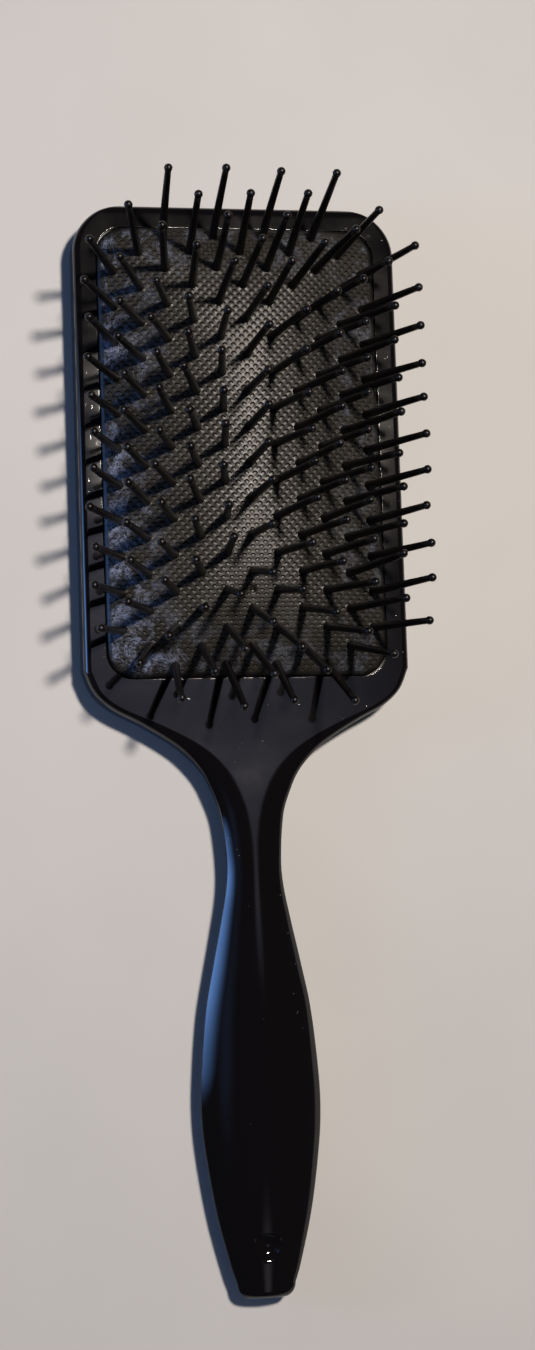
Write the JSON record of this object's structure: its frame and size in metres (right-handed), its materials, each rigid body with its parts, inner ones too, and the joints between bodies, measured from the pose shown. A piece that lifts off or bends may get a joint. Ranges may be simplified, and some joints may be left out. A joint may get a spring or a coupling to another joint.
{
  "type": "paddle hair brush",
  "caption": "Rectangular paddle hair brush with a leaf-shaped handle, a domed air-cushion rubber pad and staggered rows of ball-tipped nylon pins.",
  "frame": {"origin": "on the flat back face of the head, under the middle of the pad", "axes": "+X to the right, +Y along the brush from the handle to the head's end, +Z out of the pad, the way the pins stand"},
  "size_m": [0.0757, 0.2482, 0.0419],
  "materials": {
    "paddle_plastic": "gloss black, finely scratched",
    "pad_rubber": "matte black rubber with a fine woven texture, dusty",
    "pin_nylon": "satin black nylon, slightly translucent brown at the edges"
  },
  "bodies": {
    "paddle": {"paddle_body": "paddle_plastic"},
    "pad": {"cushion_pad": "pad_rubber"},
    "row_01": {"pin_row_01": "pin_nylon"},
    "row_02": {"pin_row_02": "pin_nylon"},
    "row_03": {"pin_row_03": "pin_nylon"},
    "row_04": {"pin_row_04": "pin_nylon"},
    "row_05": {"pin_row_05": "pin_nylon"},
    "row_06": {"pin_row_06": "pin_nylon"},
    "row_07": {"pin_row_07": "pin_nylon"},
    "row_08": {"pin_row_08": "pin_nylon"},
    "row_09": {"pin_row_09": "pin_nylon"},
    "row_10": {"pin_row_10": "pin_nylon"},
    "row_11": {"pin_row_11": "pin_nylon"},
    "row_12": {"pin_row_12": "pin_nylon"},
    "row_13": {"pin_row_13": "pin_nylon"},
    "row_14": {"pin_row_14": "pin_nylon"},
    "row_15": {"pin_row_15": "pin_nylon"},
    "row_16": {"pin_row_16": "pin_nylon"},
    "row_17": {"pin_row_17": "pin_nylon"},
    "row_18": {"pin_row_18": "pin_nylon"},
    "row_19": {"pin_row_19": "pin_nylon"},
    "row_20": {"pin_row_20": "pin_nylon"},
    "row_21": {"pin_row_21": "pin_nylon"},
    "row_22": {"pin_row_22": "pin_nylon"},
    "row_23": {"pin_row_23": "pin_nylon"},
    "row_24": {"pin_row_24": "pin_nylon"},
    "row_25": {"pin_row_25": "pin_nylon"}
  },
  "joints": [
    {"name": "pad_press", "type": "slide", "parent": "paddle", "child": "pad", "axis": [0, 0, -1], "range_m": [0, 0.003], "stiffness_N_per_m": 3000, "deforming": ["cushion_pad"]},
    {"name": "row_01_tilt", "type": "hinge", "parent": "pad", "child": "row_01", "pos_m": [0, 0.04872, 0.01214], "axis": [1, 0, 0], "range_deg": [-10, 10], "stiffness_Nm_per_rad": 0.05},
    {"name": "row_02_tilt", "type": "hinge", "parent": "pad", "child": "row_02", "pos_m": [0, 0.04466, 0.01348], "axis": [1, 0, 0], "range_deg": [-10, 10], "stiffness_Nm_per_rad": 0.05},
    {"name": "row_03_tilt", "type": "hinge", "parent": "pad", "child": "row_03", "pos_m": [0, 0.0406, 0.01382], "axis": [1, 0, 0], "range_deg": [-10, 10], "stiffness_Nm_per_rad": 0.05},
    {"name": "row_04_tilt", "type": "hinge", "parent": "pad", "child": "row_04", "pos_m": [0, 0.03654, 0.01532], "axis": [1, 0, 0], "range_deg": [-10, 10], "stiffness_Nm_per_rad": 0.05},
    {"name": "row_05_tilt", "type": "hinge", "parent": "pad", "child": "row_05", "pos_m": [0, 0.03248, 0.0148], "axis": [1, 0, 0], "range_deg": [-10, 10], "stiffness_Nm_per_rad": 0.05},
    {"name": "row_06_tilt", "type": "hinge", "parent": "pad", "child": "row_06", "pos_m": [0, 0.02842, 0.01594], "axis": [1, 0, 0], "range_deg": [-10, 10], "stiffness_Nm_per_rad": 0.05},
    {"name": "row_07_tilt", "type": "hinge", "parent": "pad", "child": "row_07", "pos_m": [0, 0.02436, 0.01509], "axis": [1, 0, 0], "range_deg": [-10, 10], "stiffness_Nm_per_rad": 0.05},
    {"name": "row_08_tilt", "type": "hinge", "parent": "pad", "child": "row_08", "pos_m": [0, 0.0203, 0.01609], "axis": [1, 0, 0], "range_deg": [-10, 10], "stiffness_Nm_per_rad": 0.05},
    {"name": "row_09_tilt", "type": "hinge", "parent": "pad", "child": "row_09", "pos_m": [0, 0.01624, 0.01512], "axis": [1, 0, 0], "range_deg": [-10, 10], "stiffness_Nm_per_rad": 0.05},
    {"name": "row_10_tilt", "type": "hinge", "parent": "pad", "child": "row_10", "pos_m": [0, 0.01218, 0.01613], "axis": [1, 0, 0], "range_deg": [-10, 10], "stiffness_Nm_per_rad": 0.05},
    {"name": "row_11_tilt", "type": "hinge", "parent": "pad", "child": "row_11", "pos_m": [0, 0.00812, 0.01512], "axis": [1, 0, 0], "range_deg": [-10, 10], "stiffness_Nm_per_rad": 0.05},
    {"name": "row_12_tilt", "type": "hinge", "parent": "pad", "child": "row_12", "pos_m": [0, 0.00406, 0.01613], "axis": [1, 0, 0], "range_deg": [-10, 10], "stiffness_Nm_per_rad": 0.05},
    {"name": "row_13_tilt", "type": "hinge", "parent": "pad", "child": "row_13", "pos_m": [0, 0, 0.01512], "axis": [1, 0, 0], "range_deg": [-10, 10], "stiffness_Nm_per_rad": 0.05},
    {"name": "row_14_tilt", "type": "hinge", "parent": "pad", "child": "row_14", "pos_m": [0, -0.00406, 0.01613], "axis": [1, 0, 0], "range_deg": [-10, 10], "stiffness_Nm_per_rad": 0.05},
    {"name": "row_15_tilt", "type": "hinge", "parent": "pad", "child": "row_15", "pos_m": [0, -0.00812, 0.01512], "axis": [1, 0, 0], "range_deg": [-10, 10], "stiffness_Nm_per_rad": 0.05},
    {"name": "row_16_tilt", "type": "hinge", "parent": "pad", "child": "row_16", "pos_m": [0, -0.01218, 0.01613], "axis": [1, 0, 0], "range_deg": [-10, 10], "stiffness_Nm_per_rad": 0.05},
    {"name": "row_17_tilt", "type": "hinge", "parent": "pad", "child": "row_17", "pos_m": [0, -0.01624, 0.01512], "axis": [1, 0, 0], "range_deg": [-10, 10], "stiffness_Nm_per_rad": 0.05},
    {"name": "row_18_tilt", "type": "hinge", "parent": "pad", "child": "row_18", "pos_m": [0, -0.0203, 0.01609], "axis": [1, 0, 0], "range_deg": [-10, 10], "stiffness_Nm_per_rad": 0.05},
    {"name": "row_19_tilt", "type": "hinge", "parent": "pad", "child": "row_19", "pos_m": [0, -0.02436, 0.01509], "axis": [1, 0, 0], "range_deg": [-10, 10], "stiffness_Nm_per_rad": 0.05},
    {"name": "row_20_tilt", "type": "hinge", "parent": "pad", "child": "row_20", "pos_m": [0, -0.02842, 0.01594], "axis": [1, 0, 0], "range_deg": [-10, 10], "stiffness_Nm_per_rad": 0.05},
    {"name": "row_21_tilt", "type": "hinge", "parent": "pad", "child": "row_21", "pos_m": [0, -0.03248, 0.0148], "axis": [1, 0, 0], "range_deg": [-10, 10], "stiffness_Nm_per_rad": 0.05},
    {"name": "row_22_tilt", "type": "hinge", "parent": "pad", "child": "row_22", "pos_m": [0, -0.03654, 0.01532], "axis": [1, 0, 0], "range_deg": [-10, 10], "stiffness_Nm_per_rad": 0.05},
    {"name": "row_23_tilt", "type": "hinge", "parent": "pad", "child": "row_23", "pos_m": [0, -0.0406, 0.01382], "axis": [1, 0, 0], "range_deg": [-10, 10], "stiffness_Nm_per_rad": 0.05},
    {"name": "row_24_tilt", "type": "hinge", "parent": "pad", "child": "row_24", "pos_m": [0, -0.04466, 0.01348], "axis": [1, 0, 0], "range_deg": [-10, 10], "stiffness_Nm_per_rad": 0.05},
    {"name": "row_25_tilt", "type": "hinge", "parent": "pad", "child": "row_25", "pos_m": [0, -0.04872, 0.01214], "axis": [1, 0, 0], "range_deg": [-10, 10], "stiffness_Nm_per_rad": 0.05}
  ]
}
